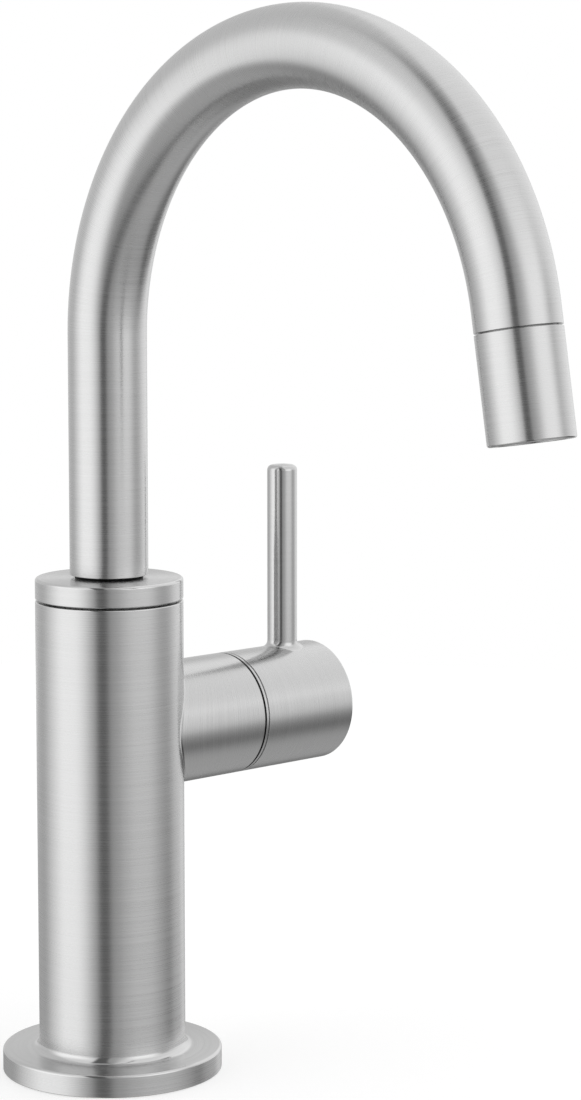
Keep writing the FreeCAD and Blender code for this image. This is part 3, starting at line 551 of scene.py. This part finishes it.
# Turned brass again, with its rings round the handle's axis
handle_brass = plain("turned_brass_on_the_handle_axis", "#b48a3c", "#cba552", metallic=1.0, roughness=0.28,
                     spread=0.06, grain=(0.2, 4.0, 4.0), relief=0.15)
# Lapped alumina: nearly white and smooth, with a clear shine
alumina = plain("lapped_alumina", "#e2ded3", "#efece4", metallic=0.0, roughness=0.18,
                spread=0.04, grain=(0.8, 0.8, 0.8), relief=0.03)
# Black oxide on steel: nearly black, with a dull metal shine
black_steel = plain("black_oxide_steel", "#151517", "#222224", metallic=0.9, roughness=0.38,
                    spread=0.06, grain=(0.4, 0.4, 0.4), relief=0.12)
dress(forged_brass, "brass", "waterway_body")
dress(handle_brass, "brass", "bonnet_nut", "valve_stem")
dress(alumina, "alumina", "fixed_disc", "moving_disc")
dress(white_acetal, "white_acetal", "cartridge_housing")
dress(rubber, "black_rubber", "seat_seal", "cartridge_oring", "stem_seal", "inlet_tube_oring")
dress(black_steel, "black_steel", "handle_set_screw")

# Shank
# A brass shank with a fine 14 per inch thread cut on a lathe; its head screws into the column.
# A relief groove parts the run for the deck hole from the run for the nut.
shank_radius, shank_pitch, shank_depth, shank_chamfer, thread_columns = 12.7, 1.814, 1.0, 1.0, 96
head_radius, head_top, head_edge, shank_bore, bore_edge = 15.4, 9.0, 0.4, 8.0, 0.2
bore_end, tube_hole, shank_end = -50.0, 5.0625, -56.0
groove_radius, groove_low, groove_high = 12.0, -34.0, -32.0


def threaded(radius, low, high, pitch, depth, path, columns=thread_columns, steps=10):
    """A screw thread between two heights, with that many steps in a pitch.

    Reach = radius - depth (1 - cos turn) / 2, with turn = 2 pi height / pitch - angle. The thread runs out to
    the full radius over one pitch at each end.
    """
    height = np.linspace(low, high, math.ceil((high - low) / pitch * steps) + 1)
    angle = np.linspace(0, 2 * np.pi, columns + 1)
    centre, across, lift, forward = path(height)
    turn = 2 * np.pi * height[:, None] / pitch - angle
    cut = depth / 2 * np.clip(np.minimum(height - low, high - height) / pitch, 0, 1)[:, None]
    radial = np.cos(angle)[None, :, None] * across[:, None] + np.sin(angle)[None, :, None] * lift[:, None]
    place = centre[:, None] + (radius - cut * (1 - np.cos(turn)))[..., None] * radial
    normal = radial + (cut * np.sin(turn) * 2 * np.pi / pitch)[..., None] * forward[:, None]
    normal = normal / np.linalg.norm(normal, axis=-1, keepdims=True)
    return place, normal, *np.meshgrid(height, angle, indexing="ij"), 0 * turn


thread_start = shank_end + shank_chamfer
shank = [
    carried(section([
        (shank_radius, 0.0), (shank_radius, gasket_depth), (head_radius, gasket_depth),
        (head_radius, head_top, head_edge), (shank_bore, head_top, bore_edge), (shank_bore, bore_end),
        (tube_hole, bore_end), (tube_hole, shank_end), (shank_radius - shank_chamfer, shank_end),
        (shank_radius, thread_start),
    ], closed=False), upright, thread_columns),
    threaded(shank_radius, thread_start, groove_low, shank_pitch, shank_depth, upright),
    carried(section([
        (shank_radius, groove_low), (groove_radius, groove_low), (groove_radius, groove_high),
        (shank_radius, groove_high),
    ], closed=False), upright, thread_columns),
    threaded(shank_radius, groove_high, 0.0, shank_pitch, shank_depth, upright),
]
piece("threaded_shank", shank, "faucet_body", ["shank"], upright_brass)

# Water inlet
# A drawn copper tube comes down through the shank, sealed in the waterway with a rubber ring.
# It ends in a brass fitting turned from hexagon bar, with a fine thread for a 3/8 in compression nut.

# Drawn copper: a red shine with long streaks down the tube
copper = plain("drawn_copper", "#b06a46", "#c98560", metallic=1.0, roughness=0.3,
               spread=0.06, grain=(0.3, 0.3, 12.0), relief=0.12)
dress(copper, "copper", "inlet_tube")


def six_sided(flats, low, high, low_rim, high_rim, steps=thread_columns // 6):
    """The flats and both ends of a six-sided bar, each end going in to a round rim.

    Radius = half the distance across the flats / cos(angle from the flat's middle).
    """
    off = np.tile(np.linspace(-np.pi / 6, np.pi / 6, steps + 1), 6)
    middle = np.repeat(np.arange(1, 12, 2) * np.pi / 6, steps + 1)
    angle = middle + off
    radial = np.stack([np.cos(angle), np.sin(angle), 0 * angle], 1)
    outward = np.stack([np.cos(middle), np.sin(middle), 0 * angle], 1)
    up = np.array([0, 0, 1.0]) + 0 * radial
    outline = (flats / 2 / np.cos(off))[:, None] * radial
    faces = [
        (outline + low * up, outline + high * up, outward),
        (low_rim * radial + low * up, outline + low * up, -up),
        (high_rim * radial + high * up, outline + high * up, up),
    ]
    patches = []
    for first, last, normal in faces:
        place = np.stack([first, last])
        along = np.stack([0 * angle, np.linalg.norm(last - first, axis=1)])
        patches.append((place, np.stack([normal, normal]), along, angle + 0 * along, 0 * along))
    return patches


fitting_radius, fitting_pitch, fitting_depth, fitting_chamfer, fitting_bore = 7.145, 1.058, 0.6, 0.8, 3.5
fitting_end, hexagon_low, hexagon_high, hexagon_flats, tube_socket = -93.0, -78.0, -71.0, 17.5, 4.7625
thread_start = fitting_end + fitting_chamfer
fitting = [
    carried(section([
        (tube_socket, hexagon_high), (tube_socket, hexagon_low), (fitting_bore, hexagon_low),
        (fitting_bore, fitting_end), (fitting_radius - fitting_chamfer, fitting_end),
        (fitting_radius, thread_start),
    ], closed=False), upright, thread_columns),
    threaded(fitting_radius, thread_start, hexagon_low, fitting_pitch, fitting_depth, upright),
    *six_sided(hexagon_flats, hexagon_low, hexagon_high, fitting_radius, tube_socket),
]
piece("threaded_fitting", fitting, "faucet_body", ["inlet_fitting"], upright_brass)

# Mounting nut, washers and base gasket
# The brass nut draws the flange down on the deck, against a steel washer and a rubber one.
# A rubber gasket in the flange seals the hole.

# Zinc plate on steel: a cold, pale grey, faintly mottled
zinc_steel = plain("zinc_plated_steel", "#a3a7ab", "#b9bdc1", metallic=1.0, roughness=0.38,
                   spread=0.08, grain=(2.0, 2.0, 2.0), relief=0.08)
dress(upright_brass, "brass", "mounting_nut")
dress(zinc_steel, "zinc_steel", "steel_washer")
dress(rubber, "black_rubber", "rubber_washer", "base_gasket")

# Studio
# A pale floor that looks white and keeps the object's shadow, with white walls round it.
# In front, reflections look past the floor, to the lamps and flags that stand there out of the picture.

# From here on lengths are in metres
camera_azimuth = math.radians(-39.719)
floor_radius, floor_height, floor_sides, floor_glow = 0.6, -0.0002, 128, 0.62
backdrop_start, backdrop_softness = 0.46, 0.2
angle = np.linspace(0, 2 * np.pi, floor_sides + 1)[:-1]
floor_mesh = bpy.data.meshes.new("floor")
rim = np.stack([floor_radius * np.cos(angle), floor_radius * np.sin(angle), floor_height + 0 * angle], 1)
floor_mesh.from_pydata(rim.tolist(), [], [list(range(floor_sides))])
floor = bpy.data.objects.new("floor", floor_mesh)
bpy.context.scene.collection.objects.link(floor)
floor_paint = bpy.data.materials.new("pale_studio_floor")
floor_paint.use_nodes = True
floor_paint.cycles.emission_sampling = "NONE"
tree = floor_paint.node_tree
tree.nodes.clear()
place = add(tree, "ShaderNodeTexCoord").node.outputs["Object"]
rays = add(tree, "ShaderNodeLightPath").node.outputs
mirrored = add(tree, "ShaderNodeMath", {"operation": "MAXIMUM"},
               {0: rays["Is Glossy Ray"], 1: rays["Is Transmission Ray"]})
seen = add(tree, "ShaderNodeMath", {"operation": "MAXIMUM"}, {0: mirrored, 1: rays["Is Camera Ray"]})
strength = add(tree, "ShaderNodeMath", {"operation": "MULTIPLY"}, {0: seen, 1: floor_glow})
paint = add(tree, "ShaderNodeBsdfDiffuse", None, {"Color": linear("#b4b4b4")})
glow = add(tree, "ShaderNodeEmission", None, {"Color": linear("#ffffff"), "Strength": strength})
surface = add(tree, "ShaderNodeAddShader", None, {0: paint, 1: glow})
behind = add(tree, "ShaderNodeVectorMath", {"operation": "DOT_PRODUCT"},
             {0: place, 1: (-math.sin(camera_azimuth), math.cos(camera_azimuth), 0)}).node.outputs["Value"]
before = add(tree, "ShaderNodeMapRange", {"interpolation_type": "SMOOTHSTEP"},
             {"Value": behind, "From Min": (1 + backdrop_softness) * backdrop_start,
              "From Max": (1 - backdrop_softness) * backdrop_start})
past = add(tree, "ShaderNodeMath", {"operation": "MULTIPLY"}, {0: mirrored, 1: before})
surface = add(tree, "ShaderNodeMixShader", None,
              {0: past, 1: surface, 2: add(tree, "ShaderNodeBsdfTransparent")})
add(tree, "ShaderNodeOutputMaterial", None, {"Surface": surface})
floor_mesh.materials.append(floor_paint)

world = bpy.data.worlds.new("studio")
bpy.context.scene.world = world
world.use_nodes = True
tree = world.node_tree
tree.nodes.clear()
way = add(tree, "ShaderNodeTexCoord")
parts = add(tree, "ShaderNodeSeparateXYZ", None, {0: way}).node.outputs
away = add(tree, "ShaderNodeMath", {"operation": "MULTIPLY"}, {0: parts["Y"], 1: -1.0})
azimuth = add(tree, "ShaderNodeMath", {"operation": "ARCTAN2"}, {0: parts["X"], 1: away})
# Lamps and flags, each laid over the ones before: azimuth from the spout's side towards the handle, half
# width and softness in degrees, lowest and highest Z on the unit sphere with their softness, and brightness
layers = [
    (180.0, 42.0, 16.0, 0.12, 2.0, 0.12, 0.76),  # grey wall, high behind
    (113.0, 20.0, 18.0, 0.25, 2.0, 0.2, 1.2),  # lamp, high at the right rear
    (142.0, 12.0, 16.0, 0.2, 0.5, 0.1, 0.72),  # grey flag at the right rear
    (-110.0, 90.0, 12.0, -2.0, -0.1, 0.5, 0.28),  # dark lower half on the left
    (70.0, 90.0, 12.0, -2.0, -0.14, 0.5, 0.26),  # dark lower half on the right
    (92.0, 24.0, 36.0, -0.3, 2.0, 0.2, 1.1),  # lamp on the right
    (66.0, 11.0, 22.0, -2.0, -0.22, 0.1, 0.02),  # black flag, low at the right front
    (90.0, 14.0, 20.0, -2.0, -0.26, 0.05, 0.15),  # dark flag, low on the right
    (46.0, 8.0, 20.0, -0.12, 0.2, 0.12, 0.58),  # grey flag at the right front
    (10.0, 22.0, 28.0, -0.1, 0.5, 0.2, 1.42),  # lamp in front
    (0.0, 400.0, 1.0, -2.0, -0.6, 0.15, 0.54),  # grey underneath, all round
    (-148.0, 13.0, 24.0, -0.48, 0.0, 0.12, 0.76),  # grey flag, low at the left rear
    (147.0, 20.0, 16.0, -2.0, -0.26, 0.1, 0.25),  # dark flag, low at the right rear
    (-108.0, 31.0, 44.0, -0.54, 0.5, 0.2, 1.44),  # lamp on the left
    (-45.0, 18.0, 34.0, -2.0, 2.0, 0.2, 0.45),  # dark strip at the camera
]


def within(edges):
    """How far a direction is inside all edges (value, outside, inside): the product of smooth steps."""
    share = 1.0
    for value, outside, inside in edges:
        step = add(tree, "ShaderNodeMapRange", {"interpolation_type": "SMOOTHSTEP"},
                   {"Value": value, "From Min": outside, "From Max": inside})
        share = add(tree, "ShaderNodeMath", {"operation": "MULTIPLY"}, {0: share, 1: step})
    return share


level = 1.0
for middle, half_width, softness, bottom, top, fading, brightness in layers:
    off = add(tree, "ShaderNodeMath", {"operation": "SUBTRACT"}, {0: azimuth, 1: math.radians(middle)})
    off = add(tree, "ShaderNodeMath", {"operation": "WRAP"}, {0: off, 1: math.pi, 2: -math.pi})
    off = add(tree, "ShaderNodeMath", {"operation": "ABSOLUTE"}, {0: off})
    share = within([
        (off, math.radians(half_width + softness / 2), math.radians(half_width - softness / 2)),
        (parts["Z"], bottom - fading, bottom + fading),
        (parts["Z"], top + fading, top - fading),
    ])
    level = add(tree, "ShaderNodeMix", None, {0: share, 2: level, 3: brightness})

# The flag beside the camera is a strip that leans and passes overhead
flag_azimuth, flag_lean, flag_brightness = math.radians(-52.3), 0.15, 0.14
flag_outside, flag_inside, flag_back, flag_front = 0.2, 0.1, -0.05, 0.3
beside = add(tree, "ShaderNodeVectorMath", {"operation": "DOT_PRODUCT"},
             {0: way, 1: (math.cos(flag_azimuth), math.sin(flag_azimuth), flag_lean)}).node.outputs["Value"]
facing = add(tree, "ShaderNodeVectorMath", {"operation": "DOT_PRODUCT"},
             {0: way, 1: (math.sin(flag_azimuth), -math.cos(flag_azimuth), 0)}).node.outputs["Value"]
beside = add(tree, "ShaderNodeMath", {"operation": "ABSOLUTE"}, {0: beside})
flag = within([(beside, flag_outside, flag_inside), (facing, flag_back, flag_front)])
level = add(tree, "ShaderNodeMix", None, {0: flag, 2: level, 3: flag_brightness})
# The camera sees a white background
level = add(tree, "ShaderNodeMix", None, {0: add(tree, "ShaderNodeLightPath"), 2: level, 3: 1.0})
background = add(tree, "ShaderNodeBackground", None, {"Color": linear("#ffffff"), "Strength": level})
add(tree, "ShaderNodeOutputWorld", None, {"Surface": background})

# Camera
# It stands to the left of the spout, a little lower than the crown, and looks slightly down.
# A long lens keeps the uprights nearly parallel.
camera_distance, camera_height, camera_lens = 0.76483, 0.229954, 103.976
camera_tilt, camera_heading = math.radians(90 - 7.547), math.radians(-43.019)
camera = bpy.data.objects.new("camera", bpy.data.cameras.new("camera"))
bpy.context.scene.collection.objects.link(camera)
camera.location = (camera_distance * math.sin(camera_azimuth), -camera_distance * math.cos(camera_azimuth),
                   camera_height)
camera.rotation_euler = (camera_tilt, 0, camera_heading)
camera.data.lens = camera_lens
camera.data.clip_start = 0.01
bpy.context.scene.camera = camera
bpy.context.scene.view_settings.view_transform = "Standard"
